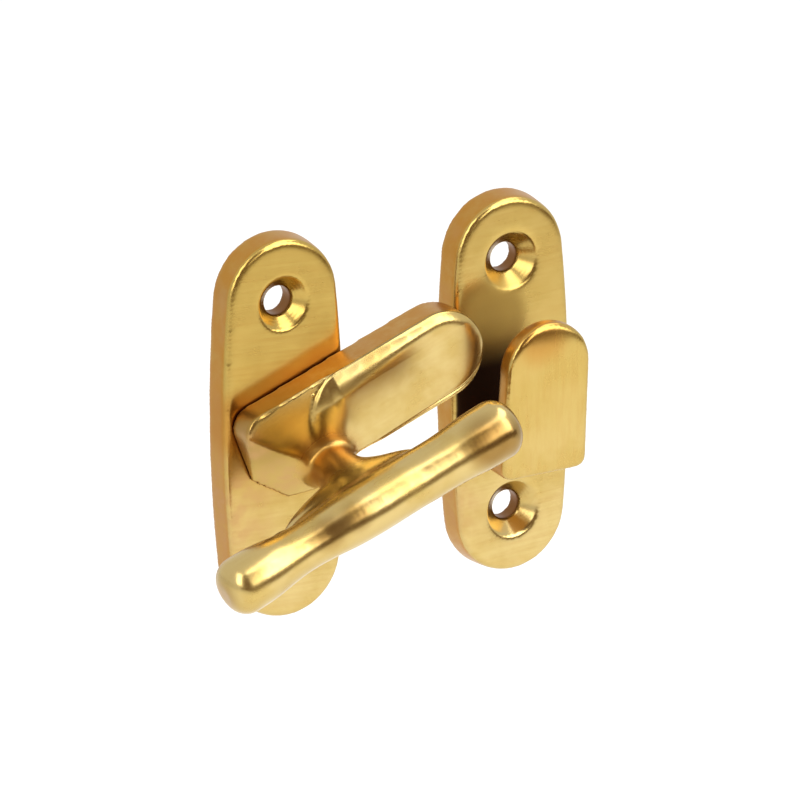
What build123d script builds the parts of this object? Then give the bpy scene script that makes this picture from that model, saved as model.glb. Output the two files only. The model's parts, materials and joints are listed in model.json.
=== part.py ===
from build123d import *
import math
import os

# Cast brass cabinet catch: a latch plate with a turning latch arm, and a hooked keeper plate.
# Each casting is drawn lying on its back, with X along the wall, Y up the wall and Z out of
# the wall, and is stood up against the wall at the end. All sizes are in millimetres.

# Plates
plate_length = 63.5
plate_width = 22.4
side_bulge = 1.0
plate_thickness = 5.1
plate_draft = 5.5
plate_edge_round = 0.5
rim_wall = 2.4
latch_web = 2.7
keeper_web = 3.7
pocket_draft = 3.0
screw_boss_diameter = 9.4

# Screw holes
screw_spacing = 41.8
screw_bore = 4.7
latch_sink_width = 8.8
keeper_sink_width = 9.6
sink_angle = 90.0
keeper_sink_round = 0.5

# Pivot
pivot_diameter = 6.0
pivot_clearance = 0.05
pivot_depth_in_arm = 4.0
rivet_head_diameter = 9.0
rivet_head_height = 1.1
rivet_crown = 0.4
washer_outer = 12.0
washer_bore_clearance = 0.2
washer_thickness = 0.6
washer_dish = 0.4

# Latch arm
arm_lift_angle = 20.5
arm_gap = 0.3
seat_diameter = 11.0
seat_clearance = 0.05
arm_width = 14.9
arm_reach = 34.4
arm_base_height = 5.0
pad_height = 1.4
pad_start = 2.6
pad_nose_wall = 0.45
pad_roll_run = 5.6
shoulder_round = 1.5
hub_back = 8.5
hub_front = 7.6
hub_drop = 10.4
hub_corner = 3.4
bevel_tilt = 39.0
bevel_direction = 218.4
bevel_setback = 3.5

# Stem and tee handle
stem_along = 2.8
stem_drop = 6.9
stem_foot_length = 7.6
stem_foot_width = 6.9
stem_neck_length = 6.6
stem_neck_width = 6.2
stem_fan_length = 18.6
stem_fan_width = 7.0
stem_top_length = 26.0
stem_top_width = 7.2
stem_neck_share = 0.14
stem_fan_share = 0.5
stem_top_share = 0.82
handle_height = 26.3
handle_length = 55.2
handle_along = 0.55
handle_drop = 7.5
left_end_diameter = 9.4
left_waist_diameter = 7.6
handle_middle_diameter = 9.2
right_waist_diameter = 8.8
right_end_diameter = 9.8
waist_offset = 12.6
end_swell_offset = 4.4
handle_end_round = 3.4

# Keeper hook
keeper_gap = 0.2
tip_catch = 1.15
lip_foot_width = 15.5
lip_top_width = 15.0
lip_top = 13.9
lip_bottom = 12.0
lip_front = 15.4
lip_thickness = 3.4
lip_lean = 5.7
floor_clearance = 0.4
floor_draft = 5.8
hook_inner_round = 1.6
lip_corner_round = 1.8
lip_roll_run = 5.0
lip_roll_depth = 0.8
lip_edge_round = 0.4

# Heights above the wall and places that follow from the sizes above
keeper_thickness = plate_thickness + arm_gap - keeper_gap
arm_back = plate_thickness + arm_gap
arm_half = arm_width / 2
tip_centre = arm_reach - arm_half
floor_top = arm_half + floor_clearance
plate_spacing = arm_reach - tip_catch + lip_foot_width / 2
screw_heights = (screw_spacing / 2, -screw_spacing / 2)
wall = Plane(origin=(0, 0, 0), x_dir=(1, 0, 0), z_dir=(0, -1, 0))


def plate_outline(inset=0.0):
    """Round-ended plate outline whose long sides belly out, pulled in by inset."""
    half_width = plate_width / 2 - inset
    half_length = plate_length / 2 - inset
    end_centre = half_length - (half_width - side_bulge)
    end_radius = half_width - side_bulge
    side_radius = (half_width**2 + end_centre**2 - end_radius**2) / (2 * side_bulge)
    side_centre = side_radius - half_width
    meeting_angle = math.atan2(end_centre, side_centre)
    corner_x = side_radius * math.cos(meeting_angle) - side_centre
    corner_y = side_radius * math.sin(meeting_angle)
    right = ThreePointArc((corner_x, -corner_y), (half_width, 0), (corner_x, corner_y))
    top = ThreePointArc((corner_x, corner_y), (0, half_length), (-corner_x, corner_y))
    left = ThreePointArc((-corner_x, corner_y), (-half_width, 0), (-corner_x, -corner_y))
    bottom = ThreePointArc((-corner_x, -corner_y), (0, -half_length), (corner_x, -corner_y))
    return make_face([right, top, left, bottom])


def cast_plate(thickness, web):
    """Plate casting with drafted sides, a softened front edge and a hollow back with screw bosses."""
    plate = extrude(plate_outline(), amount=thickness, taper=plate_draft)
    front_edges = plate.faces().sort_by(Axis.Z)[-1].edges()
    plate = fillet(front_edges, plate_edge_round)
    pocket = extrude(plate_outline(rim_wall), amount=thickness - web, taper=pocket_draft)
    for height in screw_heights:
        pocket -= Pos(0, height, thickness / 2) * Cylinder(screw_boss_diameter / 2, thickness)
    return plate - pocket


def screw_hole(height, thickness, sink_width):
    """Clearance bore with a countersink for a wood screw, open at the front face."""
    sink_depth = (sink_width - screw_bore) / 2 / math.tan(math.radians(sink_angle / 2))
    bore = Pos(0, height, thickness / 2) * Cylinder(screw_bore / 2, 2 * thickness)
    sink = Cone(screw_bore / 2, sink_width / 2, sink_depth)
    return bore + Pos(0, height, thickness - sink_depth / 2) * sink


def make_latch_plate():
    """Left plate: two screw holes and the bore that the pivot rivet turns in."""
    plate = cast_plate(plate_thickness, latch_web)
    for height in screw_heights:
        plate -= screw_hole(height, plate_thickness, latch_sink_width)
    return plate - Cylinder(pivot_diameter / 2 + pivot_clearance, 3 * plate_thickness)


def arm_plan(start, tip_x):
    """Plan of the arm bar from a square start to its half-round tip."""
    bar = Pos((start + tip_x) / 2, 0) * Rectangle(tip_x - start, arm_width)
    return bar + Pos(tip_x, 0) * Circle(arm_half)


def make_hub_blank():
    """Lower layer of the arm with the hub block that carries the stem."""
    hub_length = hub_back + hub_front
    hub_width = arm_half + hub_drop
    hub = Pos((hub_front - hub_back) / 2, (arm_half - hub_drop) / 2)
    hub_plan = hub * RectangleRounded(hub_length, hub_width, hub_corner)
    blank = extrude(arm_plan(0, tip_centre) + hub_plan, amount=arm_base_height)
    away = math.radians(bevel_direction)
    cutter_size = 4 * hub_width
    cutter = Pos(cutter_size / 2, 0, cutter_size / 2) * Box(cutter_size, cutter_size, cutter_size)
    cutter = Rot(0, bevel_tilt, 0) * cutter
    ridge_x = bevel_setback * math.cos(away)
    ridge_y = bevel_setback * math.sin(away)
    return blank - Pos(ridge_x, ridge_y, arm_base_height) * Rot(0, 0, bevel_direction) * cutter


def make_pad():
    """Raised finger pad: rounded shoulders, half-round nose and a top that rolls down to it."""
    full_height = arm_base_height + pad_height
    block = extrude(arm_plan(pad_start - arm_half, tip_centre), amount=full_height)
    top = block.faces().sort_by(Axis.Z)[-1]
    shoulder_edges = top.edges().filter_by(lambda edge: edge.center().X > pad_start)
    block = fillet(shoulder_edges, shoulder_round)
    nose_plan = arm_plan(pad_start + arm_half, arm_reach) + Pos(pad_start + arm_half, 0) * Circle(arm_half)
    nose = extrude(nose_plan, amount=full_height)
    roll_start = (pad_start, arm_base_height + pad_nose_wall)
    roll_end = (pad_start + pad_roll_run, full_height)
    side_view = make_face(
        [
            TangentArc(roll_end, roll_start, tangent=(-1, 0)),
            Polyline(
                roll_end,
                (arm_reach + arm_half, full_height),
                (arm_reach + arm_half, 0),
                (pad_start, 0),
                roll_start,
            ),
        ]
    )
    rolled = extrude(Plane.XZ * side_view, amount=arm_width, both=True)
    return block & nose & rolled


def ellipse_at(height, along, drop, length, width):
    """Elliptical section of the stem, facing out of the wall."""
    return Pos(along, -drop, height) * Ellipse(length / 2, width / 2)


def make_stem():
    """Neck between hub and handle, flared at its foot and fanned out under the handle."""
    rise = handle_height - arm_back - arm_base_height
    neck_height = arm_base_height + stem_neck_share * rise
    fan_height = arm_base_height + stem_fan_share * rise
    top_height = arm_base_height + stem_top_share * rise
    sections = [
        ellipse_at(arm_base_height / 2, stem_along, stem_drop, stem_foot_length, stem_foot_width),
        ellipse_at(arm_base_height, stem_along, stem_drop, stem_foot_length, stem_foot_width),
        ellipse_at(neck_height, stem_along, stem_drop, stem_neck_length, stem_neck_width),
        ellipse_at(fan_height, (stem_along + handle_along) / 2, handle_drop, stem_fan_length, stem_fan_width),
        ellipse_at(top_height, handle_along, handle_drop, stem_top_length, stem_top_width),
    ]
    return loft(sections)


def swept_line(start, end):
    """Two arcs that leave the start level, meet half-way and reach the end level."""
    middle = ((start[0] + end[0]) / 2, (start[1] + end[1]) / 2)
    first = TangentArc(start, middle, tangent=(1, 0))
    return [first, TangentArc(middle, end, tangent=first % 1)]


def make_handle():
    """Turned-looking tee bar: full in the middle, waisted, swelling to rounded ends."""
    half = handle_length / 2
    swell = half - end_swell_offset
    shoulder = half - handle_end_round
    left_radius = left_end_diameter / 2
    right_radius = right_end_diameter / 2
    left_face = (-half, left_radius - handle_end_round)
    right_face = (half, right_radius - handle_end_round)
    stations = [
        (-swell, left_radius),
        (-waist_offset, left_waist_diameter / 2),
        (0, handle_middle_diameter / 2),
        (waist_offset, right_waist_diameter / 2),
        (swell, right_radius),
    ]
    outline = [
        Polyline(left_face, (-half, 0), (half, 0), right_face),
        TangentArc((-shoulder, left_radius), left_face, tangent=(-1, 0)),
        Line((-shoulder, left_radius), stations[0]),
        Line(stations[-1], (shoulder, right_radius)),
        TangentArc((shoulder, right_radius), right_face, tangent=(1, 0)),
    ]
    for start, end in zip(stations, stations[1:]):
        outline += swept_line(start, end)
    profile = make_face(outline)
    bar = revolve(profile, axis=Axis.X)
    return Pos(handle_along, -handle_drop, handle_height - arm_back) * bar


def lift_arm(piece):
    """Set a piece of the arm on the plate's face and turn it to its raised angle."""
    return Rot(0, 0, arm_lift_angle) * Pos(0, 0, arm_back) * piece


def make_latch_arm():
    """One casting: arm, raised pad, bevelled hub, flared stem and tee handle."""
    casting = make_hub_blank() + make_pad() + make_stem() + make_handle()
    seat_height = arm_gap - seat_clearance
    casting += Pos(0, 0, -seat_height / 2) * Cylinder(seat_diameter / 2, seat_height)
    socket_bottom = -arm_gap
    socket_height = pivot_depth_in_arm - socket_bottom
    socket = Pos(0, 0, socket_bottom + socket_height / 2) * Cylinder(pivot_diameter / 2, socket_height)
    return lift_arm(casting - socket)


def make_pivot_rivet():
    """Rivet fast in the arm, turning in the plate, with its peened head in the hollow back."""
    head_top = plate_thickness - latch_web - washer_dish - washer_thickness
    head_bottom = head_top - rivet_head_height
    shank_end = arm_back + pivot_depth_in_arm
    head_radius = rivet_head_diameter / 2
    head_edge = (head_radius, head_bottom + rivet_crown)
    crown = TangentArc((0, head_bottom), head_edge, tangent=(1, 0))
    sides = Polyline(
        head_edge,
        (head_radius, head_top),
        (pivot_diameter / 2, head_top),
        (pivot_diameter / 2, shank_end),
        (0, shank_end),
        (0, head_bottom),
    )
    profile = make_face([crown, sides])
    return revolve(Plane.XZ * profile, axis=Axis.Z)


def make_spring_washer():
    """Dished washer between the plate's web and the rivet head, which keeps the arm stiff."""
    web_back = plate_thickness - latch_web
    inner = pivot_diameter / 2 + washer_bore_clearance
    outer = washer_outer / 2
    profile = make_face(
        Polyline(
            (inner, web_back - washer_dish - washer_thickness),
            (inner, web_back - washer_dish),
            (outer, web_back),
            (outer, web_back - washer_thickness),
            close=True,
        )
    )
    return revolve(Plane.XZ * profile, axis=Axis.Z)


def lip_front_edges(hook):
    """Edges around the outer face of the lip, above the corners at its foot."""
    front_faces = hook.faces().sort_by(lambda face: -face.center().Z)[:2]
    edges = front_faces[0].edges() + front_faces[1].edges()
    rims = [edge for edge in edges if abs(edge.center().X) > lip_corner_round]
    return rims + [edge for edge in edges if edge.center().Y > lip_top - lip_corner_round]


def make_hook():
    """Keeper hook: a floor out from the plate and a round-topped lip that leans outwards."""
    lean = math.tan(math.radians(lip_lean))
    lip_height = lip_top + lip_bottom
    back_foot = lip_front - lip_thickness
    floor_rise = (lip_bottom - floor_top) * lean
    root_drop = lip_bottom - (lip_front - keeper_thickness) * math.tan(math.radians(floor_draft))
    roll_start = (lip_front + (lip_height - lip_roll_run) * lean, lip_top - lip_roll_run)
    roll_end = (lip_front + lip_height * lean - lip_roll_depth, lip_top)
    side_view = [
        TangentArc(roll_start, roll_end, tangent=(lean, 1)),
        Polyline(
            roll_end,
            (back_foot + lip_height * lean, lip_top),
            (back_foot + floor_rise, -floor_top),
            (0, -floor_top),
            (0, -root_drop),
            (keeper_thickness, -root_drop),
            (lip_front, -lip_bottom),
            roll_start,
        ),
    ]
    side_plane = Plane(origin=(0, 0, 0), x_dir=(0, 0, 1), z_dir=(-1, 0, 0))
    side_face = make_face(side_view)
    inner_corner = side_face.vertices().sort_by_distance((back_foot + floor_rise, -floor_top))[0]
    side_face = fillet(inner_corner, hook_inner_round)
    hook = extrude(side_plane * side_face, amount=lip_foot_width, both=True)
    top_radius = lip_top_width / 2
    spring = lip_top - top_radius
    foot_half = lip_foot_width / 2
    front_view = make_face(
        [
            Polyline(
                (-top_radius, spring),
                (-foot_half, -lip_bottom),
                (foot_half, -lip_bottom),
                (top_radius, spring),
            ),
            ThreePointArc((top_radius, spring), (0, lip_top), (-top_radius, spring)),
        ]
    )
    front_view = fillet(front_view.vertices().sort_by(Axis.Y)[:2], lip_corner_round)
    hook = hook & extrude(front_view, amount=2 * lip_front)
    return fillet(lip_front_edges(hook), lip_edge_round)


def is_sink_rim(edge):
    """Tell whether an edge is the outer rim of one of the keeper's countersinks."""
    at_face = abs(edge.center().Z - keeper_thickness) < keeper_sink_round
    return at_face and abs(edge.radius - keeper_sink_width / 2) < keeper_sink_round


def make_keeper():
    """Right plate and its hook, one casting."""
    plate = cast_plate(keeper_thickness, keeper_web)
    hook = make_hook()
    keeper = plate + hook
    for height in screw_heights:
        keeper -= screw_hole(height, keeper_thickness, keeper_sink_width)
    rims = keeper.edges().filter_by(GeomType.CIRCLE)
    rims = rims.filter_by(lambda edge: is_sink_rim(edge))
    return Pos(plate_spacing, 0, 0) * fillet(rims, keeper_sink_round)


def write_part(name, piece):
    """Stand a piece up against the wall and write it."""
    export_step(wall.location * piece, f"parts/{name}.step")


os.makedirs("parts", exist_ok=True)
write_part("latch_plate", make_latch_plate())
write_part("latch_arm", make_latch_arm())
write_part("pivot_rivet", make_pivot_rivet())
write_part("spring_washer", make_spring_washer())
write_part("keeper", make_keeper())
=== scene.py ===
"""Cast brass cabinet catch: the castings get their blended forms, their brass and their light."""

import json
import math

import bpy
from bpy.props import FloatProperty, FloatVectorProperty, IntProperty, PointerProperty
from mathutils import Matrix, Vector, noise

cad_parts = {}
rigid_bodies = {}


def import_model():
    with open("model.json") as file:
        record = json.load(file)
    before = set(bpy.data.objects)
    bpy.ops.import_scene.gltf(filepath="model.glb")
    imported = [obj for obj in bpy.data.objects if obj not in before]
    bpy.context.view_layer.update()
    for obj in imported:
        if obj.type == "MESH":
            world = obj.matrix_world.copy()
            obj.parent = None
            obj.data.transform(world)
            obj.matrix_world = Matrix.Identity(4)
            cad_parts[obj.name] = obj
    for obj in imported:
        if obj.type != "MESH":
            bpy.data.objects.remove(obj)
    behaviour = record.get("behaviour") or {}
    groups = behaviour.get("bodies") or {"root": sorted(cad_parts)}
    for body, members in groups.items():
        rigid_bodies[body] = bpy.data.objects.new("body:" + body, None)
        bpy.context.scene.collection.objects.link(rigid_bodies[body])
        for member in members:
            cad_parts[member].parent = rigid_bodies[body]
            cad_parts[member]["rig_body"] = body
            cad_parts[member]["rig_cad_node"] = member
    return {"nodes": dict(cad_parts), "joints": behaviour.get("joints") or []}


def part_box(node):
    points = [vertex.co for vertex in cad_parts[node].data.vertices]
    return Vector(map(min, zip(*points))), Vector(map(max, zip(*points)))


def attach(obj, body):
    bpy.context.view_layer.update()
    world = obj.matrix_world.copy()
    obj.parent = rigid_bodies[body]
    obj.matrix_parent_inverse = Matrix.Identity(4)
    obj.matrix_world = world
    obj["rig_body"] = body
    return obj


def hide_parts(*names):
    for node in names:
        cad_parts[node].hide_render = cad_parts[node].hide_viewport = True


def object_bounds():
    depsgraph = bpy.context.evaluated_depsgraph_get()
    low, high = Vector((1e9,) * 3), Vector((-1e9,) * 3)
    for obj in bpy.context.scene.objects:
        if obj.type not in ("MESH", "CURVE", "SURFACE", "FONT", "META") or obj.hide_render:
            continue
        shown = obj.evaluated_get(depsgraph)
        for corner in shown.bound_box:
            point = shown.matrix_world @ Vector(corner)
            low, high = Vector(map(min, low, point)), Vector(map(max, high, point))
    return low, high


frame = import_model()
cad_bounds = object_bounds()

bl_info = {
    "name": "Cabinet Catch Finish",
    "version": (1, 0, 0),
    "blender": (4, 5, 0),
    "location": "3D View > Sidebar > Catch",
    "description": "Finishes a cast brass cabinet catch and sets up its studio",
    "category": "Object",
}

MM = 0.001

# Sizes of the solids from which the shaping starts.
SCREW_HALF_SPACING = 20.9 * MM
SINK_RADIUS = 4.4 * MM
BORE_RADIUS = 2.35 * MM
PAD_HALF = 7.45 * MM
PAD_START = 2.6 * MM
PAD_RISE = 1.4 * MM
BASE_TOP = 10.4 * MM
TIP_CENTRE = 26.95 * MM
STEM_ALONG = 2.8 * MM
STEM_DROP = 6.9 * MM
HANDLE_UNDERSIDE = 21.0 * MM
WELD_DISTANCE = 0.002 * MM

# The castings are remeshed askew, so that none of their edges runs along the voxels.
GRID_TURN = Matrix.Rotation(math.radians(34.0), 4, Vector((1.0, 0.7, 0.4)).normalized())

# Zones that are smoothed or waved by themselves: where each begins or ends, and the width of its fade.
PAD_ZONE_FOOT = (BASE_TOP + 0.2 * MM, 0.4 * MM)
PAD_ZONE_TOP = (BASE_TOP + 3.2 * MM, 1.0 * MM)
STEM_ZONE_FOOT = (BASE_TOP - 2.6 * MM, 1.6 * MM)
HUB_ZONE_BACK = (0.5 * MM, 4.0 * MM)
HUB_ZONE_FOOT = (6.4 * MM, 1.2 * MM)
HUB_ZONE_TOP = (16.0 * MM, 3.0 * MM)
HANDLE_ZONE = (HANDLE_UNDERSIDE, 3.0 * MM)
OFF_SINKS = (4.7 * MM, 1.0 * MM)

# How steeply smoothing and swell reach their full measure on the stem.
BLEND_STEEPNESS = 1.4
FOOT_STEEPNESS = 1.3
SWELL_RISE = 6.0
SWELL_FALL = 1.4
SWELL_START = BASE_TOP + 0.05 * MM
SMOOTHING = 0.5
BLEND_SMOOTHING = 0.6
SETTLE_PASSES = 6

# The rolled edge falls partly in a straight line and partly in a curve.
ROLL_STRAIGHT = 0.45
ROLL_CURVED = 0.55
ROLL_TOP = BASE_TOP + 1.5 * PAD_RISE

# Along and across the arm, in millimetres, and how far out both beads lie.
BEAD_PLACES = ((4.38, 5.8), (7.02, -8.41))
BEAD_OUT = 10.3
BEAD_STRETCH = (1.15, 0.8, 0.95, 1.0)
RIPPLES_PER_METRE = 240.0

# Cloudy patterns: their number per metre, detail and roughness.
CLOUDS = (140.0, 4.0, 0.55)
MOTTLE = (420.0, 5.0, 0.65)
SAND = (1900.0, 3.0, 0.6)
BELT_LINES = (1.0, 4.0, 0.62)
FILE_MARKS = (1.0, 2.0, 0.5)
MACHINED_CLOUDS = (260.0, 5.0, 0.6)
CLOTH = (60.0, 2.0, 0.5)
PAPER = (90.0, 3.0, 0.5)

# Lines and marks per metre in X, Y and Z, before their turn about the axis out of the wall.
ARM_GRAIN = (80.0, 1500.0, 1500.0)
PLATE_GRAIN = (70.0, 1500.0, 1700.0)
LIP_GRAIN = (1500.0, 1500.0, 60.0)
CHATTER = (1900.0, 160.0, 160.0)
LATCH_GRAIN_TURN = -0.05
KEEPER_GRAIN_TURN = 0.06
LIP_GRAIN_TURN = 0.03
ARM_GRAIN_SHARE = 0.6

# Casting pits, cutter rings in the sinks and rings on machined pieces.
PITS_PER_METRE = 300.0
PIT_SIZE = 0.045
PIT_FLOOR = 0.4
RING_PITCH = 0.42 * MM
MACHINED_RINGS_PER_METRE = 900.0
MACHINED_DISTORTION = 1.2

# Depths of the bumps.
CLOUD_DEPTH = 0.005 * MM
GRAIN_DEPTH = 0.0014 * MM
WALL_DEPTH = 0.006 * MM
SAND_DEPTH = 0.05 * MM
CHATTER_DEPTH = 0.010 * MM
PIT_DEPTH = 0.04 * MM
LATCH_RING_DEPTH = 0.003 * MM
KEEPER_RING_DEPTH = 0.001 * MM
MACHINED_RING_DEPTH = 0.006 * MM
MACHINED_CLOUD_DEPTH = 0.02 * MM

# Masks: the two values between which each fades, then its strength at both where that isn't 0 to 1.
DEEP_TONE = (0.36, 0.68, 0.0, 0.6)
BELT_STREAK = (0.35, 0.72, 0.0, 0.14)
SIDEWAYS = (0.20, 0.48, 1.0, 0.0)
WALL_BLOTCH = (0.30, 0.62, 0.70, 1.0)
WALL_BROWN = (0.50, 0.72, 0.0, 0.35)
TO_THE_WALL = (0.15, 0.60)
BACK_BLOTCH = (0.3, 0.7, 0.65, 1.0)
PITS_KEPT = (0.78, 0.80)
# Painted shade, with some real dirt, in corners and creases:
CORNER_SHADE_TONE = (0.30, 0.95, 0.62, 0.0)
CORNER_DIRT_AND_SHADE = (0.08, 0.45, 0.65, 0.0)
MACHINED_TONE = (0.35, 0.7, 0.0, 0.6)
MACHINED_GLOSS = (0.3, 0.7, 0.26, 0.42)
LEAN_FOOT = (BASE_TOP + 0.1 * MM, BASE_TOP + 0.4 * MM)
LEAN_TOP = (BASE_TOP + 2.0 * MM, BASE_TOP + 3.0 * MM, 1.0, 0.0)
LEAN_ALONG = (PAD_START + 4.0 * MM, PAD_START + 6.0 * MM)
# Where the painted shade in the keeper's throat lies.
THROAT_BACK = (4.95 * MM, 5.15 * MM)
THROAT_FRONT = (8.0 * MM, 8.6 * MM, 1.0, 0.0)
THROAT_FOOT = (-7.0 * MM, -5.6 * MM)
THROAT_TOP = (3.5 * MM, 9.5 * MM, 1.0, 0.0)
FLOOR_MOTTLE = (0.3, 0.7, 0.0, 0.02)
BOARD_SHADE = (-0.5, 0.08)

# Other measures of the brass.
CLOUDY = (0.3, 0.7)
GLOSS_SPREAD = (0.88, 1.15)
BELT_ROUGHNESS = 0.10
WALL_END = 12.4 * MM
WALL_FADE = 0.8 * MM
SKIN_CLOUDS = (0.34, 0.66)
SKIN_FAINT = 0.10
SKIN_FULL = 0.70
SKIN_ROUGHNESS = 0.26
PATCH_CORE = 0.35
SINK_FADE = 0.3 * MM
BORE_MARGIN = 0.1 * MM
# Painted shade inside the screw bores.
BORE_SHADE = 0.88
BORE_ROUGHNESS = 0.4
THROAT_ROUGHNESS = 0.5
PIT_DIRT = 0.8
CORNER_REACH = 3.4 * MM
CORNER_SAMPLES = 4
LEAN_LIMIT = PAD_HALF * 0.45

# Marks and patches on the arm, in millimetres along it, across it and out of the wall, in this order.
# File marks: place and reach.
ARM_CHATTER = (
    ((-1.0, -7.0, 31.0), 7.0),
    ((19.0, -7.0, 31.0), 6.5),
)
# Painted shade and painted dark reflections: place, reach, colour, strength and roughness.
ARM_PAINTED_SHADE = (
    ((-5.0, -2.0, 9.5), 14.0, "polished_deep", 0.9, None),
    ((2.5, -7.0, 13.0), 8.0, "glow", 0.8, 0.42),
    ((-4.0, 5.0, 8.5), 11.0, "handled", 0.5, None),
    ((21.5, -6.5, 30.5), 6.0, "handled", 0.8, None),
    ((27.0, -9.0, 30.0), 5.5, "handled", 0.6, None),
    ((-8.5, -5.0, 31.0), 4.5, "handled", 0.7, None),
    ((-3.5, -5.0, 31.0), 4.0, "handled", 0.6, None),
    ((-29.5, -7.0, 27.0), 5.0, "handled", 0.6, None),
)
# Casting skin: place, reach and strength.
ARM_SKIN = (
    ((-6.0, -6.5, 9.5), 7.0, 1.0),
    ((-8.0, 3.0, 9.0), 4.5, 0.9),
    ((-28.5, -9.0, 25.0), 5.5, 0.8),
    ((28.0, -9.5, 25.5), 5.5, 0.8),
)

# Lamps and boards by the angles that they fill, in degrees right of straight out and above the level.
# Softboxes: name, angles across and up, and brightness as a multiple of the softbox level.
SOFTBOXES = (
    ("key_lamp", (9.5, 46.0), (9.0, 50.0), 1.3),
    ("top_lamp", (25.0, 85.0), (52.0, 78.0), 1.0),
    ("left_lamp", (-66.0, -40.0), (8.0, 56.0), 1.0),
)
FRONT_FLAG = ((-40.0, 7.0), (9.0, 53.0))
LOW_CARD = ((-50.0, 70.0), (-19.0, 9.0))
CLOTH_LIFT = 1.06
PAPER_DROP = 0.97
PAPER_ROUGHNESS = 0.8
PAPER_GLOW = 0.42
WHITE = (1.0, 1.0, 1.0)
BLACK = (0.0, 0.0, 0.0)
SENSOR_WIDTH = 36.0
CAMERA_REACH = 50.0

# The arm's own directions, from the angle at which the record's hinge holds it at rest.
arm_joint = frame["joints"][0]
LIFT = math.radians(-arm_joint["range_deg"][0])
ARM_ALONG = Vector((math.cos(LIFT), 0.0, math.sin(LIFT)))
ARM_ACROSS = Vector((-math.sin(LIFT), 0.0, math.cos(LIFT)))
OUTWARD = Vector((0.0, -1.0, 0.0))


def arm_point(along, across, out):
    """A point given along the arm, across it and out of the wall, in millimetres."""
    return (ARM_ALONG * along + ARM_ACROSS * across + OUTWARD * out) * MM


def along_across_out(place):
    """A point's place along the arm, across it and out of the wall, in metres."""
    return place.dot(ARM_ALONG), place.dot(ARM_ACROSS), place.dot(OUTWARD)


# Settings


def count_setting(name, description, count):
    """A whole number."""
    return IntProperty(name=name, description=description, default=count)


def length_setting(name, description, length):
    """A length in metres."""
    return FloatProperty(name=name, description=description, default=length, unit="LENGTH", precision=5)


def angle_setting(name, description, degrees):
    """An angle, with its default in degrees."""
    return FloatProperty(name=name, description=description, default=math.radians(degrees), subtype="ANGLE")


def share_setting(name, description, share):
    """A share from 0 to 1."""
    return FloatProperty(name=name, description=description, default=share, min=0.0, max=1.0, subtype="FACTOR")


def colour_setting(name, description, colour):
    """A colour in linear red, green and blue."""
    return FloatVectorProperty(name=name, description=description, default=colour, subtype="COLOR", size=3)


class CatchCastingSettings(bpy.types.PropertyGroup):
    """Mesh size, smoothing and hand-finished form of the castings."""

    voxel: length_setting("Voxel", "Mesh size of the castings", 0.27 * MM)
    edge_passes: count_setting("Edge Passes", "Smoothing passes that take the sharpness off every edge", 7)
    rim_passes: count_setting("Rim Passes", "More passes where the belt has rolled the outer edges over", 45)
    blend_passes: count_setting("Blend Passes", "Smoothing passes where the stem runs into the handle", 150)
    blend_reach: length_setting("Blend Reach", "Half the height of the zone in which stem and handle blend", 4.6 * MM)
    stem_top: length_setting("Stem Top", "Height of the blend zone's middle", 21.4 * MM)
    neck_swell: length_setting("Neck Swell", "How much fuller the stem's neck is cast", 0.75 * MM)
    neck_reach: length_setting("Neck Reach", "How far from the stem's middle the swell reaches", 5.2 * MM)
    foot_passes: count_setting("Foot Passes", "Smoothing passes where the stem grows out of the hub", 190)
    foot_reach: length_setting("Foot Reach", "How far round the stem the foot is smoothed", 10.5 * MM)
    roll_width: length_setting("Roll Width", "Width of the pad's rolled upper edge at its nose", 4.4 * MM)
    roll_width_tip: length_setting("Roll Width at Tip", "Width of the pad's rolled edge at its tip", 1.8 * MM)
    pad_lean: angle_setting("Pad Lean", "Lean of the pad's top towards its lower edge", 4.5)
    roll_fall: share_setting("Roll Fall", "Drop of the rolled edge as a share of its width", 0.25)
    bead_radius: length_setting("Bead Radius", "Radius of the tiny beads at the ends of the pad's nose", 0.42 * MM)
    pad_passes: count_setting("Pad Passes", "Smoothing passes over the pad's top", 48)
    hub_passes: count_setting("Hub Passes", "Smoothing passes that round the hub's bevelled edges", 30)
    ripple: length_setting("Ripple", "Depth of the hand-filed waves on the handle", 0.05 * MM)


class CatchBrassSettings(bpy.types.PropertyGroup):
    """Colours and roughness of the brass."""

    polished: colour_setting("Polished", "Colour of linished brass", (0.545, 0.410, 0.165))
    # A random deeper tone in the clouds; also painted shade towards the plates' tops, on the hub and above the
    # keeper's slot.
    polished_deep: colour_setting("Polished Deep", "Colour of toned linished brass", (0.46, 0.315, 0.080))
    # Partly the walls' as-cast colour, partly painted shade where they face away from the light.
    cast_wall_and_shade: colour_setting("Cast Wall", "Colour of the barely polished side walls", (0.45, 0.215, 0.036))
    cast_skin: colour_setting("Cast Skin", "Colour of the pinkish skin left by the mould", (0.46, 0.255, 0.105))
    # Real toned brass in the belt streaks; also painted shade beside corners, at the stem's foot, beside the hub and
    # on the keeper's lip top.
    glow: colour_setting("Corner Tone", "Colour of the toned brass beside a corner", (0.42, 0.19, 0.032))
    # Painted dark reflection: the brown bands between the handle's highlights.
    handled: colour_setting("Handled", "Colour of the brown patches on the handle", (0.22, 0.11, 0.022))
    # Real dirt in pits; also painted shade in corners and in the screw bores.
    tarnish_and_shade: colour_setting("Tarnish", "Colour of dirt in pits and corners", (0.13, 0.045, 0.012))
    # Painted shade: the near black inside the keeper's hook.
    painted_throat_shade: colour_setting("Throat", "Colour inside the keeper's hook, which no polish reaches", (0.030, 0.014, 0.007))
    turned: colour_setting("Turned", "Colour of the peened rivet", (0.80, 0.60, 0.28))
    spring: colour_setting("Spring", "Colour of the dished spring washer", (0.66, 0.40, 0.20))
    gloss: share_setting("Gloss", "Roughness of the polished faces", 0.24)
    wall_gloss: share_setting("Wall Gloss", "Roughness of the side walls", 0.36)
    rough_cast: share_setting("Rough Cast", "Roughness of the untouched backs", 0.5)


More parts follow.
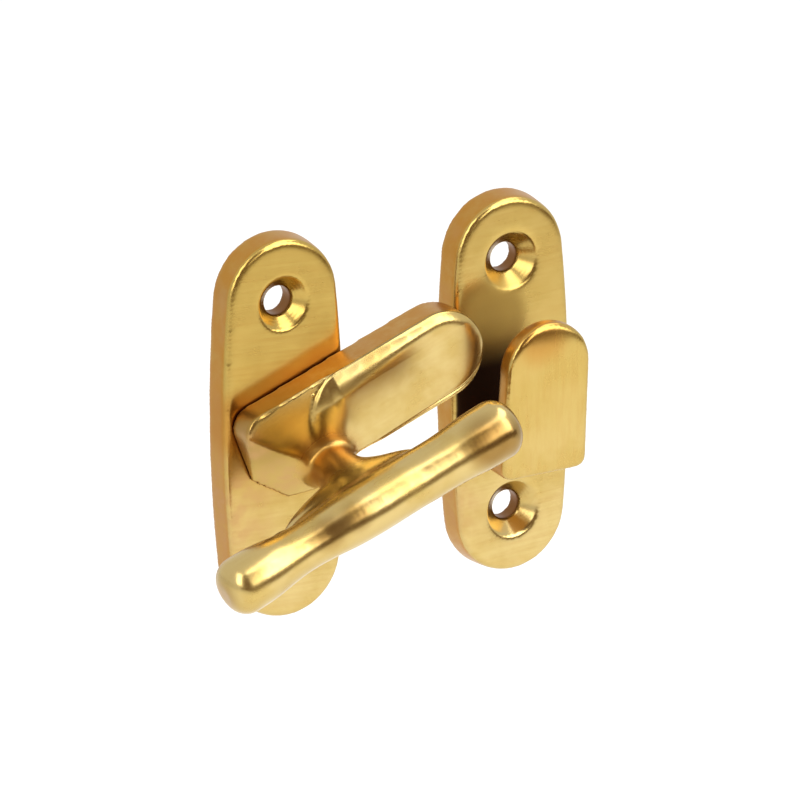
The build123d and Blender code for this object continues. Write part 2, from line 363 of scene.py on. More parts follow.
class CatchStudioSettings(bpy.types.PropertyGroup):
    """Camera, lamps and floor."""

    azimuth: angle_setting("Azimuth", "Camera's turn about the upright axis", -28.32)
    elevation: angle_setting("Elevation", "Camera's height above the level", 19.57)
    roll: angle_setting("Roll", "Camera's tilt about its own line of sight", 0.67)
    distance: length_setting("Distance", "From the pivot to the camera", 1.389)
    lens: FloatProperty(name="Lens", description="Focal length in millimetres on a 36 mm sensor", default=397.2)
    aim_right: length_setting("Aim Right", "Picture's middle, right of the pivot", 20.49 * MM)
    aim_up: length_setting("Aim Up", "Picture's middle, above the pivot", 2.91 * MM)
    floor_drop: length_setting("Floor Drop", "From the catch down to the floor", 0.2)
    floor_size: length_setting("Floor Size", "Width of the floor", 12.0)
    floor_tint: colour_setting("Floor Tint", "Colour of the floor", (0.80, 0.80, 0.79))
    sky_level: FloatProperty(name="Sky Level", description="Strength of the soft light from all round", default=0.55)
    box_level: FloatProperty(name="Softbox Level", description="Brightness of the softboxes", default=3.2)
    board_distance: length_setting("Board Distance", "From the catch to lamps and boards", 0.9)
    flag_tint: colour_setting("Flag Tint", "Colour of the dark boards that the brass reflects", (0.22, 0.13, 0.055))
    card_tint: colour_setting("Card Tint", "Colour of the shaded card under the softbox", (0.74, 0.66, 0.48))


# Material nodes


def new_material(name):
    """An empty node material with its shader and output."""
    material = bpy.data.materials.new(name)
    material.use_nodes = True
    tree = material.node_tree
    tree.nodes.clear()
    output = tree.nodes.new("ShaderNodeOutputMaterial")
    shader = tree.nodes.new("ShaderNodeBsdfPrincipled")
    tree.links.new(shader.outputs["BSDF"], output.inputs["Surface"])
    return material, tree, shader


def plug(tree, node, name, value):
    """Set a socket to a number or colour, or link it to another node's output."""
    socket = node.inputs[name]
    if isinstance(value, bpy.types.NodeSocket):
        tree.links.new(value, socket)
    elif isinstance(value, (int, float)):
        socket.default_value = value
    else:
        value = tuple(value)
        socket.default_value = value + (1.0,) if len(value) < len(socket.default_value) else value


def coordinates(tree, kind="Object"):
    """Object coordinates, or the surface's own normal, of the piece being shaded."""
    return tree.nodes.new("ShaderNodeTexCoord").outputs[kind]


def placed(tree, vector, location=(0.0, 0.0, 0.0), rotation=(0.0, 0.0, 0.0), scale=(1.0, 1.0, 1.0)):
    """Coordinates moved so that location is the middle, then turned, then stretched."""
    shift = tree.nodes.new("ShaderNodeVectorMath")
    shift.operation = "SUBTRACT"
    plug(tree, shift, 0, vector)
    plug(tree, shift, 1, location)
    turn = tree.nodes.new("ShaderNodeMapping")
    plug(tree, turn, "Vector", shift.outputs[0])
    plug(tree, turn, "Rotation", rotation)
    stretch = tree.nodes.new("ShaderNodeVectorMath")
    stretch.operation = "MULTIPLY"
    plug(tree, stretch, 0, turn.outputs[0])
    plug(tree, stretch, 1, scale)
    return stretch.outputs[0]


def noise_of(tree, vector, scale, detail, roughness):
    """A cloudy pattern, from 0 to 1."""
    node = tree.nodes.new("ShaderNodeTexNoise")
    plug(tree, node, "Vector", vector)
    plug(tree, node, "Scale", scale)
    plug(tree, node, "Detail", detail)
    plug(tree, node, "Roughness", roughness)
    return node.outputs[0]


def between(tree, value, low, high, to_low=0.0, to_high=1.0):
    """Value remapped smoothly, and held at both ends."""
    node = tree.nodes.new("ShaderNodeMapRange")
    node.interpolation_type = "SMOOTHSTEP"
    plug(tree, node, "Value", value)
    plug(tree, node, "From Min", low)
    plug(tree, node, "From Max", high)
    plug(tree, node, "To Min", to_low)
    plug(tree, node, "To Max", to_high)
    return node.outputs[0]


def maths(tree, operation, first, second):
    """One arithmetic step."""
    node = tree.nodes.new("ShaderNodeMath")
    node.operation = operation
    plug(tree, node, 0, first)
    plug(tree, node, 1, second)
    return node.outputs[0]


def times(tree, *shares):
    """Product of several masks."""
    product = shares[0]
    for share in shares[1:]:
        product = maths(tree, "MULTIPLY", product, share)
    return product


def blended(tree, share, first, second):
    """First colour turning to the second by share."""
    node = tree.nodes.new("ShaderNodeMix")
    node.data_type = "RGBA"
    plug(tree, node, 0, share)
    plug(tree, node, 6, first)
    plug(tree, node, 7, second)
    return node.outputs[2]


def part_of(tree, vector, axis):
    """One of a vector's three numbers."""
    node = tree.nodes.new("ShaderNodeSeparateXYZ")
    plug(tree, node, 0, vector)
    return node.outputs[axis]


def near(tree, point, reach):
    """1 at a point, fading to 0 at reach from it."""
    distance = tree.nodes.new("ShaderNodeVectorMath")
    distance.operation = "DISTANCE"
    plug(tree, distance, 0, coordinates(tree))
    plug(tree, distance, 1, point)
    return between(tree, distance.outputs["Value"], reach * PATCH_CORE, reach, 1.0, 0.0)


def bumped(tree, shader, heights):
    """Stack height patterns, each (height, depth in metres), onto the shader's normal."""
    normal = None
    for height, depth in heights:
        node = tree.nodes.new("ShaderNodeBump")
        plug(tree, node, "Height", height)
        plug(tree, node, "Strength", 1.0)
        plug(tree, node, "Distance", depth)
        if normal is not None:
            plug(tree, node, "Normal", normal)
        normal = node.outputs[0]
    plug(tree, shader, "Normal", normal)


def pits(tree, vector):
    """Scattered small casting pits, 1 inside a pit."""
    cells = tree.nodes.new("ShaderNodeTexVoronoi")
    plug(tree, cells, "Vector", vector)
    plug(tree, cells, "Scale", PITS_PER_METRE)
    plug(tree, cells, "Randomness", 1.0)
    dot = between(tree, cells.outputs["Distance"], PIT_SIZE * PIT_FLOOR, PIT_SIZE, 1.0, 0.0)
    chosen = between(tree, part_of(tree, cells.outputs["Color"], 0), *PITS_KEPT)
    return maths(tree, "MULTIPLY", dot, chosen)


def corner_shade(tree):
    """How open a place is: 1 in the open, towards 0 deep in a corner."""
    corner = tree.nodes.new("ShaderNodeAmbientOcclusion")
    corner.samples = CORNER_SAMPLES
    plug(tree, corner, "Distance", CORNER_REACH)
    return corner.outputs["AO"]


def ring_mask(tree, place, middle, radius, soft):
    """1 within radius of an axis out of the wall, with the distance from that axis."""
    across = placed(tree, place, location=middle, scale=(1.0, 0.0, 1.0))
    length = tree.nodes.new("ShaderNodeVectorMath")
    length.operation = "LENGTH"
    plug(tree, length, 0, across)
    distance = length.outputs["Value"]
    return between(tree, distance, radius - soft, radius, 1.0, 0.0), distance


class Brass:
    """A brass finish under way: its nodes, and the colour, roughness and bumps so far."""

    def __init__(self, name):
        self.settings = bpy.context.scene.catch_brass
        self.material, self.tree, self.shader = new_material(name)
        self.place = coordinates(self.tree)
        self.normal = coordinates(self.tree, "Normal")
        self.out = maths(self.tree, "MULTIPLY", part_of(self.tree, self.place, 1), -1.0)
        self.clouds = noise_of(self.tree, self.place, *CLOUDS)
        self.mottle = noise_of(self.tree, self.place, *MOTTLE)
        tone = self.mask(self.clouds, *DEEP_TONE)
        self.colour = blended(self.tree, tone, self.settings.polished, self.settings.polished_deep)
        glossy, satin = (self.settings.gloss * spread for spread in GLOSS_SPREAD)
        self.rough = self.mask(self.clouds, *CLOUDY, glossy, satin)
        self.bumps = [(self.clouds, CLOUD_DEPTH)]

    def mask(self, value, *limits):
        """A value faded between two limits."""
        return between(self.tree, value, *limits)

    def tint(self, share, colour, rough=None):
        """Lay a colour, and a roughness, over the finish by share."""
        self.colour = blended(self.tree, share, self.colour, colour)
        if rough is not None:
            mix = maths(self.tree, "MULTIPLY", maths(self.tree, "SUBTRACT", rough, self.rough), share)
            self.rough = maths(self.tree, "ADD", self.rough, mix)

    def grain(self, stretch, turn, share=1.0):
        """Fine belt lines: stretch counts them per metre before the turn about the axis out of the wall."""
        turned = placed(self.tree, self.place, rotation=(0.0, turn, 0.0), scale=stretch)
        lines = noise_of(self.tree, turned, *BELT_LINES)
        streak = times(self.tree, self.mask(lines, *BELT_STREAK), share)
        self.colour = blended(self.tree, streak, self.colour, self.settings.glow)
        uneven = times(self.tree, maths(self.tree, "SUBTRACT", lines, 0.5), BELT_ROUGHNESS, share)
        self.rough = maths(self.tree, "ADD", self.rough, uneven)
        self.bumps.append((times(self.tree, lines, share), GRAIN_DEPTH))

    def walls(self, limit=None):
        """Duller, browner brass on the side walls, up to a height above the wall plane: partly their as-cast finish,
        partly painted shade.
        """
        facing = maths(self.tree, "ABSOLUTE", part_of(self.tree, self.normal, 1), 0.0)
        share = self.mask(facing, *SIDEWAYS)
        if limit is not None:
            share = times(self.tree, share, self.mask(self.out, limit, limit + WALL_FADE, 1.0, 0.0))
        blotch = times(self.tree, share, self.mask(self.mottle, *WALL_BLOTCH))
        self.tint(blotch, self.settings.cast_wall_and_shade, self.settings.wall_gloss)
        brown = times(self.tree, share, self.mask(self.clouds, *WALL_BROWN))
        self.tint(brown, self.settings.cast_skin)
        self.bumps.append((times(self.tree, share, self.mottle), WALL_DEPTH))

    def backs(self):
        """Untouched sand-cast skin on faces turned to the wall."""
        share = self.mask(part_of(self.tree, self.normal, 1), *TO_THE_WALL)
        sand = noise_of(self.tree, self.place, *SAND)
        blotch = times(self.tree, share, self.mask(self.mottle, *BACK_BLOTCH))
        self.tint(blotch, self.settings.cast_skin, self.settings.rough_cast)
        self.bumps.append((times(self.tree, share, sand), SAND_DEPTH))

    def skin(self, spot, reach, strength):
        """A patch of pinkish casting skin that the polishing missed."""
        patch = self.mask(self.mottle, *SKIN_CLOUDS, SKIN_FAINT, SKIN_FULL * strength)
        self.tint(times(self.tree, near(self.tree, spot, reach), patch), self.settings.cast_skin, SKIN_ROUGHNESS)

    def paint_shade_patch(self, spot, reach, colour, strength, rough=None):
        """A patch of painted shade round a spot."""
        self.tint(times(self.tree, near(self.tree, spot, reach), strength), colour, rough)

    def paint_shade_upward(self, low, high, strength):
        """Painted shade: deeper brass towards the top, where less light falls."""
        share = self.mask(part_of(self.tree, self.place, 2), low, high, 0.0, strength)
        self.tint(share, self.settings.polished_deep)

    def turned_sink(self, middle, depth):
        """Cutter rings in a screw sink, and painted shade in the bore."""
        inside, distance = ring_mask(self.tree, self.place, middle, SINK_RADIUS, SINK_FADE)
        rings = maths(self.tree, "SINE", maths(self.tree, "MULTIPLY", distance, 2.0 * math.pi / RING_PITCH), 0.0)
        self.bumps.append((times(self.tree, rings, inside), depth))
        bore, _ = ring_mask(self.tree, self.place, middle, BORE_RADIUS + BORE_MARGIN, BORE_MARGIN)
        self.tint(times(self.tree, bore, BORE_SHADE), self.settings.tarnish_and_shade, BORE_ROUGHNESS)

    def lean_pad(self, angle):
        """Light on the pad's top falls as if it leaned further towards its lower edge."""
        turned = placed(self.tree, self.place, rotation=(0.0, LIFT, 0.0))
        on_pad = times(
            self.tree,
            self.mask(self.out, *LEAN_FOOT),
            self.mask(self.out, *LEAN_TOP),
            self.mask(part_of(self.tree, turned, 0), *LEAN_ALONG),
        )
        ramp = maths(self.tree, "MINIMUM", part_of(self.tree, turned, 2), LEAN_LIMIT)
        self.bumps.append((times(self.tree, ramp, on_pad), math.tan(angle)))

    def chatter(self, spot, reach):
        """Short marks across the handle, as a file leaves when it jumps."""
        turned = placed(self.tree, self.place, rotation=(0.0, LIFT, 0.0), scale=CHATTER)
        marks = noise_of(self.tree, turned, *FILE_MARKS)
        self.bumps.append((times(self.tree, marks, near(self.tree, spot, reach)), CHATTER_DEPTH))

    def finish(self):
        """Pits, and corners darkened by painted shade with some dirt, last; then everything goes to the shader."""
        pit = pits(self.tree, self.place)
        self.tint(times(self.tree, pit, PIT_DIRT), self.settings.tarnish_and_shade)
        self.bumps.append((maths(self.tree, "SUBTRACT", 1.0, pit), PIT_DEPTH))
        # Painted shade, with some real dirt, where corners close in.
        openness = corner_shade(self.tree)
        self.tint(self.mask(openness, *CORNER_SHADE_TONE), self.settings.glow)
        self.tint(self.mask(openness, *CORNER_DIRT_AND_SHADE), self.settings.tarnish_and_shade)
        plug(self.tree, self.shader, "Metallic", 1.0)
        plug(self.tree, self.shader, "Base Color", self.colour)
        plug(self.tree, self.shader, "Roughness", self.rough)
        bumped(self.tree, self.shader, self.bumps)
        return self.material


def machined_material(name, colour):
    """Brass with fine rings about the pivot's axis, as turning or pressing leaves it."""
    brass = bpy.context.scene.catch_brass
    material, tree, shader = new_material(name)
    place = coordinates(tree)
    rings = tree.nodes.new("ShaderNodeTexWave")
    rings.wave_type = "RINGS"
    rings.rings_direction = "Y"
    plug(tree, rings, "Vector", place)
    plug(tree, rings, "Scale", MACHINED_RINGS_PER_METRE)
    plug(tree, rings, "Distortion", MACHINED_DISTORTION)
    clouds = noise_of(tree, place, *MACHINED_CLOUDS)
    tint = blended(tree, between(tree, clouds, *MACHINED_TONE), colour, brass.cast_wall_and_shade)
    plug(tree, shader, "Metallic", 1.0)
    plug(tree, shader, "Base Color", tint)
    plug(tree, shader, "Roughness", between(tree, clouds, *MACHINED_GLOSS))
    bumped(tree, shader, ((rings.outputs[1], MACHINED_RING_DEPTH), (clouds, MACHINED_CLOUD_DEPTH)))
    return material


def dress(piece, material):
    """Give a piece one material."""
    piece.data.materials.clear()
    piece.data.materials.append(material)


# Shaping


def select_only(piece):
    """Make a piece the only one selected, and active."""
    bpy.ops.object.select_all(action="DESELECT")
    piece.select_set(True)
    bpy.context.view_layer.objects.active = piece


def apply_modifier(piece, kind, **settings):
    """Add a modifier with these settings and apply it."""
    select_only(piece)
    modifier = piece.modifiers.new(kind.title(), kind)
    for name, value in settings.items():
        setattr(modifier, name, value)
    bpy.ops.object.modifier_apply(modifier=modifier.name)


def copy_of_node(node_name, piece_name):
    """A free copy of a CAD node with its loose triangles joined, to be shaped further."""
    node = frame["nodes"][node_name]
    piece = node.copy()
    piece.data = node.data.copy()
    piece.name = piece_name
    piece.parent = None
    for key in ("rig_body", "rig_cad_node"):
        del piece[key]
    bpy.context.scene.collection.objects.link(piece)
    select_only(piece)
    bpy.ops.object.mode_set(mode="EDIT")
    bpy.ops.mesh.select_all(action="SELECT")
    bpy.ops.mesh.customdata_custom_splitnormals_clear()
    bpy.ops.mesh.remove_doubles(threshold=WELD_DISTANCE)
    bpy.ops.object.mode_set(mode="OBJECT")
    return piece


def smoothstep(value):
    """Ease from 0 to 1."""
    value = max(0.0, min(1.0, value))
    return value * value * (3.0 - 2.0 * value)


def past(value, start, width):
    """0 up to start, easing to 1 over width."""
    return smoothstep((value - start) / width)


def before(value, end, width):
    """1 well before end, easing to 0 over the last width before it."""
    return smoothstep((end - value) / width)


def remeshed_casting(node_name, piece_name):
    """A copy of a CAD node with an even mesh, its edges a little soft as on a tumbled casting."""
    casting = bpy.context.scene.catch_casting
    piece = copy_of_node(node_name, piece_name)
    piece.data.transform(GRID_TURN)
    apply_modifier(piece, "REMESH", mode="VOXEL", voxel_size=casting.voxel, use_smooth_shade=True)
    piece.data.transform(GRID_TURN.inverted())
    apply_modifier(piece, "SMOOTH", factor=SMOOTHING, iterations=casting.edge_passes)
    return piece


def weighted_group(piece, name, weight_at):
    """A vertex group whose weight is worked out from each vertex's place."""
    group = piece.vertex_groups.new(name=name)
    for vertex in piece.data.vertices:
        weight = weight_at(vertex.co)
        if weight > 0.0:
            group.add([vertex.index], min(weight, 1.0), "REPLACE")


def smooth_group(piece, name, passes, factor=SMOOTHING):
    """Smooth a piece only where a vertex group says."""
    apply_modifier(piece, "SMOOTH", factor=factor, iterations=passes, vertex_group=name)


class CATCH_OT_cast_arm(bpy.types.Operator):
    """Blend the stem into hub and handle, roll the pad's edge and finish the arm in brass"""

    bl_idname = "catch.cast_arm"
    bl_label = "Cast Arm"

    def roll_pad(self, arm, casting):
        """Lean the pad's top a little and let its upper edge and tip fall away in a soft roll."""
        for vertex in arm.data.vertices:
            along, across, out = along_across_out(vertex.co)
            rise = smoothstep((out - BASE_TOP) / PAD_RISE)
            if rise == 0.0 or out > ROLL_TOP or along < PAD_START:
                continue
            past_tip = max(0.0, along - TIP_CENTRE)
            if past_tip > 0.0 and across > 0.0:
                to_edge = PAD_HALF - math.hypot(past_tip, across)
            else:
                to_edge = PAD_HALF - across
            share = (along - PAD_START) / (TIP_CENTRE - PAD_START)
            width = casting.roll_width + (casting.roll_width_tip - casting.roll_width) * smoothstep(share)
            ridge = PAD_HALF - width
            fall = max(0.0, ridge - across) * math.tan(casting.pad_lean)
            if to_edge < width:
                inward = 1.0 - max(0.0, to_edge) / width
                fall += width * casting.roll_fall * (ROLL_STRAIGHT * inward + ROLL_CURVED * inward * inward)
            vertex.co -= OUTWARD * (fall * rise)

        def on_pad(place):
            out = place.dot(OUTWARD)
            return past(out, *PAD_ZONE_FOOT) * before(out, *PAD_ZONE_TOP)

        weighted_group(arm, "pad", on_pad)
        smooth_group(arm, "pad", casting.pad_passes)

    def soften_hub(self, arm, casting):
        """Round the edges between the hub's bevels, as the belt leaves them."""
        def on_hub(place):
            along, across, out = along_across_out(place)
            return past(-along, *HUB_ZONE_BACK) * past(out, *HUB_ZONE_FOOT) * before(out, *HUB_ZONE_TOP)

        weighted_group(arm, "hub", on_hub)
        smooth_group(arm, "hub", casting.hub_passes)

    def blend_stem(self, arm, casting):
        """Fill the corners between stem, hub and handle without thinning the stem."""
        def in_blend(place):
            return smoothstep(BLEND_STEEPNESS * (1.0 - abs(-place.y - casting.stem_top) / casting.blend_reach))

        def in_foot(place):
            along, across, out = along_across_out(place)
            from_axis = math.hypot(along - STEM_ALONG, across + STEM_DROP)
            near_axis = FOOT_STEEPNESS * (1.0 - from_axis / casting.foot_reach)
            return smoothstep(near_axis) * past(out, *STEM_ZONE_FOOT)

        for vertex in arm.data.vertices:
            along, across, out = along_across_out(vertex.co)
            aside = ARM_ALONG * (along - STEM_ALONG) + ARM_ACROSS * (across + STEM_DROP)
            if aside.length < casting.neck_reach and out > SWELL_START:
                height = (out - BASE_TOP) / (casting.stem_top - BASE_TOP)
                swell = smoothstep(SWELL_RISE * height) * smoothstep(SWELL_FALL * (1.0 - height))
                vertex.co += aside.normalized() * (casting.neck_swell * swell)

        weighted_group(arm, "stem_blend", in_blend)
        unblended = [(vertex.co.copy(), vertex.normal.copy()) for vertex in arm.data.vertices]
        smooth_group(arm, "stem_blend", casting.blend_passes, BLEND_SMOOTHING)
        for vertex, (place, normal) in zip(arm.data.vertices, unblended):
            if (vertex.co - place).dot(normal) < 0.0:
                vertex.co = place
        smooth_group(arm, "stem_blend", SETTLE_PASSES)
        weighted_group(arm, "stem_foot", in_foot)
        smooth_group(arm, "stem_foot", casting.foot_passes)

    def ripple_handle(self, arm, casting):
        """Shallow uneven waves along the handle, as filing by hand leaves them."""
        normals = [vertex.normal.copy() for vertex in arm.data.vertices]
        for vertex, normal in zip(arm.data.vertices, normals):
            weight = past(-vertex.co.y, *HANDLE_ZONE)
            if weight > 0.0:
                vertex.co += normal * (noise.noise(vertex.co * RIPPLES_PER_METRE) * casting.ripple * weight)

    def add_beads(self, arm, casting):
        """Two tiny flattened beads of metal where the pad's nose meets the hub."""
        for along, across in BEAD_PLACES:
            bpy.ops.object.select_all(action="DESELECT")
            bpy.ops.mesh.primitive_uv_sphere_add(segments=20, ring_count=12, radius=casting.bead_radius)
            bead = bpy.context.active_object
            shift = Matrix.Translation(arm_point(along, across, BEAD_OUT))
            bead.data.transform(shift @ Matrix.Diagonal(BEAD_STRETCH))
            arm.select_set(True)
            bpy.context.view_layer.objects.active = arm
            bpy.ops.object.join()

    def execute(self, context):
        casting = context.scene.catch_casting
        arm = remeshed_casting("latch_arm", "arm_casting")
        self.roll_pad(arm, casting)
        self.soften_hub(arm, casting)
        self.blend_stem(arm, casting)
        self.ripple_handle(arm, casting)
        self.add_beads(arm, casting)
        select_only(arm)
        bpy.ops.object.shade_smooth()
        finish = Brass("Arm Brass")
        finish.grain(ARM_GRAIN, LIFT, ARM_GRAIN_SHARE)
        finish.walls(WALL_END)
        finish.lean_pad(casting.pad_lean)
        finish.backs()
        for place, reach in ARM_CHATTER:
            finish.chatter(arm_point(*place), reach * MM)
        # Painted shade on the hub, at the stem's foot in the handle's lee and on the arm's upper wall, and painted
        # dark reflections along the handle.
        for place, reach, colour, strength, rough in ARM_PAINTED_SHADE:
            finish.paint_shade_patch(arm_point(*place), reach * MM, getattr(finish.settings, colour), strength, rough)
        for place, reach, strength in ARM_SKIN:
            finish.skin(arm_point(*place), reach * MM, strength)
        dress(arm, finish.finish())
        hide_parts("latch_arm")
        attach(arm, "arm")
        return {"FINISHED"}


class CATCH_OT_finish_plates(bpy.types.Operator):
    """Finish the latch plate and the keeper in linished brass"""

    bl_idname = "catch.finish_plates"
    bl_label = "Finish Plates"

    def cast_plate(self, node_name, piece_name):
        """An evenly meshed plate with rolled outer edges and crisper screw sinks; also its box."""
        casting = bpy.context.scene.catch_casting
        low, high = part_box(node_name)
        middle = (low.x + high.x) / 2
        piece = remeshed_casting(node_name, piece_name)

        def off_sinks(place):
            from_hole = math.hypot(place.x - middle, abs(place.z) - SCREW_HALF_SPACING)
            return past(from_hole, *OFF_SINKS)

        weighted_group(piece, "rim", off_sinks)
        smooth_group(piece, "rim", casting.rim_passes)
        select_only(piece)
        bpy.ops.object.shade_smooth()
        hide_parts(node_name)
        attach(piece, "plates")
        return piece, low, high

    def paint_throat_shade(self, keeper):
        """Painted shade between the hook's lip and the plate, fading just above the lip."""
        height = part_of(keeper.tree, keeper.place, 2)
        share = times(
            keeper.tree,
            keeper.mask(keeper.out, *THROAT_BACK),
            keeper.mask(keeper.out, *THROAT_FRONT),
            keeper.mask(height, *THROAT_FOOT),
            keeper.mask(height, *THROAT_TOP),
        )
        keeper.tint(share, keeper.settings.painted_throat_shade, THROAT_ROUGHNESS)

    def execute(self, context):
        brass = context.scene.catch_brass
        plate, low, high = self.cast_plate("latch_plate", "latch_plate_casting")
        latch = Brass("Latch Plate Brass")
        # Painted shade: the latch plate darkens towards its top.
        latch.paint_shade_upward(-28.0 * MM, 4.0 * MM, 0.95)
        latch.grain(PLATE_GRAIN, LATCH_GRAIN_TURN)
        latch.walls()
        latch.backs()
        for side in (1, -1):
            latch.turned_sink((0.0, 0.0, side * SCREW_HALF_SPACING), LATCH_RING_DEPTH)
        on_left_wall = Vector((low.x, -2.0 * MM, low.z * 0.35))
        by_hub = Vector((low.x + 1.2 * MM, -5.0 * MM, 2.5 * MM))
        latch.skin(on_left_wall, 13.0 * MM, 0.9)
        # Painted shade on the plate beside the hub.
        latch.paint_shade_patch(by_hub, 7.0 * MM, brass.glow, 0.7)
        dress(plate, latch.finish())

        plate, low, high = self.cast_plate("keeper", "keeper_casting")
        middle = (low.x + high.x) / 2
        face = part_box("latch_plate")[0].y
        keeper = Brass("Keeper Brass")
        # Painted shade: the keeper darkens towards its top.
        keeper.paint_shade_upward(-26.0 * MM, 6.0 * MM, 0.7)
        on_lip = keeper.mask(keeper.out, -face + 4.0 * MM, -face + 5.0 * MM)
        keeper.grain(PLATE_GRAIN, KEEPER_GRAIN_TURN, maths(keeper.tree, "SUBTRACT", 1.0, on_lip))
        keeper.grain(LIP_GRAIN, LIP_GRAIN_TURN, on_lip)
        keeper.walls()
        keeper.backs()
        for side in (1, -1):
            keeper.turned_sink((middle, 0.0, side * SCREW_HALF_SPACING), KEEPER_RING_DEPTH)
        on_left_wall = Vector((low.x, -2.0 * MM, low.z * 0.6))
        on_lip_top = Vector((39.3 * MM, -18.5 * MM, 12.0 * MM))
        above_slot = Vector((middle - 4.0 * MM, face, 12.5 * MM))
        keeper.skin(on_left_wall, 8.0 * MM, 0.7)
        # Painted dark reflection on the lip's upturned top.
        keeper.paint_shade_patch(on_lip_top, 6.5 * MM, brass.glow, 0.6)
        # Painted shade above the slot, with rougher brass.
        keeper.paint_shade_patch(above_slot, 8.0 * MM, brass.polished_deep, 0.85, 0.55)
        # Painted shade in the hook's throat.
        self.paint_throat_shade(keeper)
        dress(plate, keeper.finish())
        return {"FINISHED"}


class CATCH_OT_finish_pivot(bpy.types.Operator):
    """Finish the pivot rivet and its dished washer"""

    bl_idname = "catch.finish_pivot"
    bl_label = "Finish Pivot"

    def execute(self, context):
        brass = context.scene.catch_brass
        dress(frame["nodes"]["pivot_rivet"], machined_material("Peened Brass", brass.turned))
        dress(frame["nodes"]["spring_washer"], machined_material("Spring Bronze", brass.spring))
        return {"FINISHED"}


# Studio


def aim(piece, target, tilt=0.0):
    """Point a camera or lamp at a target."""
    look = (target - piece.location).normalized().to_track_quat("-Z", "Y").to_matrix()
    piece.rotation_euler = (look @ Matrix.Rotation(tilt, 3, "Z")).to_euler()


def heading(turn, rise):
    """Direction from the catch: turned to the right of straight out, and raised above the level."""
    return Vector((math.sin(turn) * math.cos(rise), -math.cos(turn) * math.cos(rise), math.sin(rise)))


def centre_of(azimuths, elevations, distance):
    """Where something that fills these angles, in degrees, has its centre as seen from the catch."""
    return heading(math.radians(sum(azimuths) / 2.0), math.radians(sum(elevations) / 2.0)) * distance


def span(distance, first, last):
    """Width of something at a distance that reaches from one angle to another, in degrees."""
    return 2.0 * distance * math.tan(math.radians(last - first) / 2.0)


def softbox(name, azimuths, elevations, distance, level, target):
    """A rectangular soft lamp that fills these angles as seen from the catch, of even brightness."""
    data = bpy.data.lights.new(name, "AREA")
    data.shape = "RECTANGLE"
    data.size = span(distance, *azimuths)
    data.size_y = span(distance, *elevations)
    data.energy = level * math.pi * span(distance, *azimuths) * span(distance, *elevations)
    lamp = bpy.data.objects.new(name, data)
    lamp.location = target + centre_of(azimuths, elevations, distance)
    bpy.context.scene.collection.objects.link(lamp)
    aim(lamp, target)
    lamp.visible_camera = False


def glow_board(name, azimuths, elevations, distance, foot, head, target):
    """A card that only the brass sees, shaded from foot to head, as hangs beside metal in a studio."""
    bpy.ops.object.select_all(action="DESELECT")
    bpy.ops.mesh.primitive_plane_add(size=1.0)
    board = bpy.context.active_object
    board.name = name
    board.scale = (span(distance, *azimuths), span(distance, *elevations), 1.0)
    board.location = target + centre_of(azimuths, elevations, distance)
    aim(board, target)
    board.visible_camera = False
    board.visible_shadow = False
    board.visible_diffuse = False
    material, tree, shader = new_material(name)
    place = coordinates(tree)
    shade = between(tree, part_of(tree, place, 1), *BOARD_SHADE)
    foot_colour = blended(tree, noise_of(tree, place, *CLOTH), foot, [part * CLOTH_LIFT for part in foot])
    plug(tree, shader, "Base Color", BLACK)
    plug(tree, shader, "Specular IOR Level", 0.0)
    plug(tree, shader, "Emission Color", blended(tree, shade, foot_colour, head))
    plug(tree, shader, "Emission Strength", 1.0)
    dress(board, material)


def direct_rays(tree):
    """1 for rays that the camera sends, straight, by reflection or through glass, and 0 for lighting."""
    rays = tree.nodes.new("ShaderNodeLightPath")
    direct = maths(tree, "MAXIMUM", rays.outputs["Is Camera Ray"], rays.outputs["Is Glossy Ray"])
    return maths(tree, "MAXIMUM", direct, rays.outputs["Is Transmission Ray"])


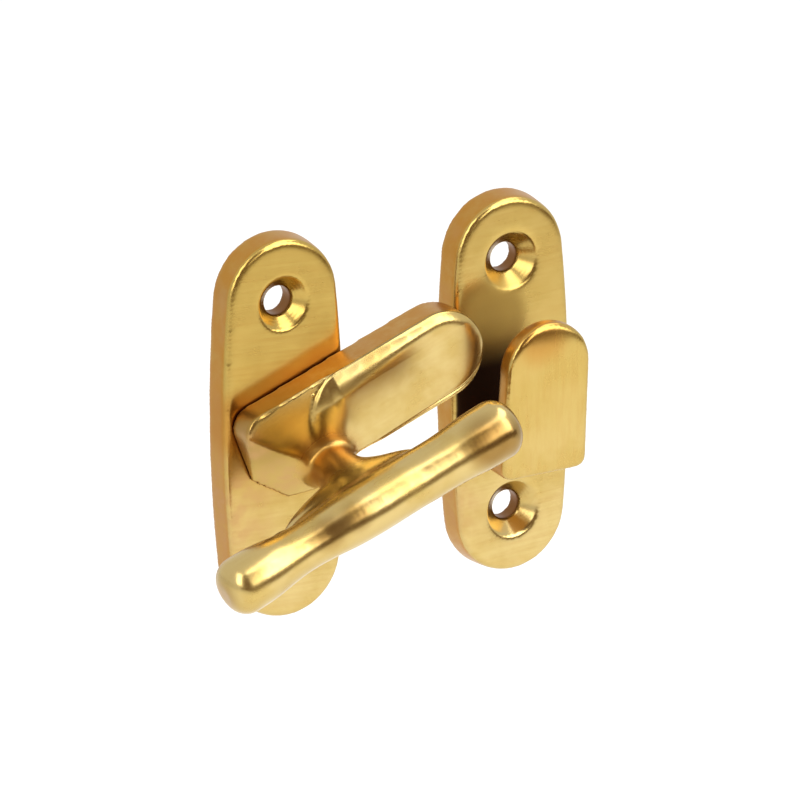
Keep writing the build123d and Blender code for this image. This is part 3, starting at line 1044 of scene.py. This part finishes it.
class CATCH_OT_build_studio(bpy.types.Operator):
    """Set up the floor, the white surroundings, the lamps and the camera"""

    bl_idname = "catch.build_studio"
    bl_label = "Build Studio"

    def lay_floor(self, studio, place):
        """A large sheet of white paper, which shows as brightly as the surroundings."""
        bpy.ops.object.select_all(action="DESELECT")
        bpy.ops.mesh.primitive_plane_add(size=studio.floor_size, location=place)
        floor = bpy.context.active_object
        floor.name = "floor"
        material, tree, shader = new_material("Floor Paper")
        mottle = between(tree, noise_of(tree, coordinates(tree), *PAPER), *FLOOR_MOTTLE)
        darker = [part * PAPER_DROP for part in studio.floor_tint]
        plug(tree, shader, "Base Color", blended(tree, mottle, studio.floor_tint, darker))
        plug(tree, shader, "Roughness", PAPER_ROUGHNESS)
        plug(tree, shader, "Emission Color", WHITE)
        plug(tree, shader, "Emission Strength", maths(tree, "MULTIPLY", direct_rays(tree), PAPER_GLOW))
        dress(floor, material)

    def surround(self, studio):
        """White surroundings that light the catch more softly than they look."""
        world = bpy.data.worlds.new("Studio Surroundings")
        bpy.context.scene.world = world
        world.use_nodes = True
        tree = world.node_tree
        tree.nodes.clear()
        output = tree.nodes.new("ShaderNodeOutputWorld")
        mix = tree.nodes.new("ShaderNodeMixShader")
        plug(tree, mix, 0, direct_rays(tree))
        for socket, strength in ((1, studio.sky_level), (2, 1.0)):
            light = tree.nodes.new("ShaderNodeBackground")
            plug(tree, light, "Color", WHITE)
            plug(tree, light, "Strength", strength)
            plug(tree, mix, socket, light.outputs[0])
        tree.links.new(mix.outputs[0], output.inputs["Surface"])

    def place_camera(self, studio):
        """The photograph's camera."""
        camera_data = bpy.data.cameras.new("camera")
        camera_data.lens = studio.lens
        camera_data.sensor_width = SENSOR_WIDTH
        camera_data.clip_end = CAMERA_REACH
        camera = bpy.data.objects.new("camera", camera_data)
        back = heading(studio.azimuth, studio.elevation)
        right = Vector((math.cos(studio.azimuth), math.sin(studio.azimuth), 0.0))
        up = back.cross(right)
        camera.location = back * studio.distance
        bpy.context.scene.collection.objects.link(camera)
        aim(camera, right * studio.aim_right + up * studio.aim_up, -studio.roll)
        bpy.context.scene.camera = camera

    def execute(self, context):
        studio = context.scene.catch_studio
        low, high = cad_bounds
        middle = (Vector(low) + Vector(high)) / 2
        self.lay_floor(studio, (middle.x, middle.y, low[2] - studio.floor_drop))
        self.surround(studio)
        far = studio.board_distance
        for name, azimuths, elevations, level in SOFTBOXES:
            softbox(name, azimuths, elevations, far, level * studio.box_level, middle)
        dark, pale = studio.flag_tint, studio.card_tint
        glow_board("front_flag", *FRONT_FLAG, far, dark, dark, middle)
        glow_board("low_card", *LOW_CARD, far, pale, dark, middle)
        self.place_camera(studio)
        context.scene.view_settings.view_transform = "Standard"
        return {"FINISHED"}


class CATCH_PT_panel(bpy.types.Panel):
    """Lists the pieces of the catch in the order in which they are finished"""

    bl_label = "Cabinet Catch"
    bl_idname = "CATCH_PT_panel"
    bl_space_type = "VIEW_3D"
    bl_region_type = "UI"
    bl_category = "Catch"

    def draw(self, context):
        for settings, operator in (
            (context.scene.catch_casting, "catch.cast_arm"),
            (context.scene.catch_brass, "catch.finish_plates"),
            (None, "catch.finish_pivot"),
            (context.scene.catch_studio, "catch.build_studio"),
        ):
            column = self.layout.column(align=True)
            if settings is not None:
                for name in settings.__annotations__:
                    column.prop(settings, name)
            column.operator(operator)


SETTINGS = (
    ("catch_casting", CatchCastingSettings),
    ("catch_brass", CatchBrassSettings),
    ("catch_studio", CatchStudioSettings),
)
OPERATORS = (
    CATCH_OT_cast_arm,
    CATCH_OT_finish_plates,
    CATCH_OT_finish_pivot,
    CATCH_OT_build_studio,
)


def register():
    """Make the settings, the operators and the panel known."""
    for name, group in SETTINGS:
        bpy.utils.register_class(group)
        setattr(bpy.types.Scene, name, PointerProperty(type=group))
    for operator in OPERATORS:
        bpy.utils.register_class(operator)
    bpy.utils.register_class(CATCH_PT_panel)


def unregister():
    """Take them away again."""
    bpy.utils.unregister_class(CATCH_PT_panel)
    for operator in reversed(OPERATORS):
        bpy.utils.unregister_class(operator)
    for name, group in reversed(SETTINGS):
        delattr(bpy.types.Scene, name)
        bpy.utils.unregister_class(group)


def main():
    """Finish every piece and build the studio."""
    register()
    bpy.ops.catch.cast_arm()
    bpy.ops.catch.finish_plates()
    bpy.ops.catch.finish_pivot()
    bpy.ops.catch.build_studio()


if __name__ == "__main__":
    main()
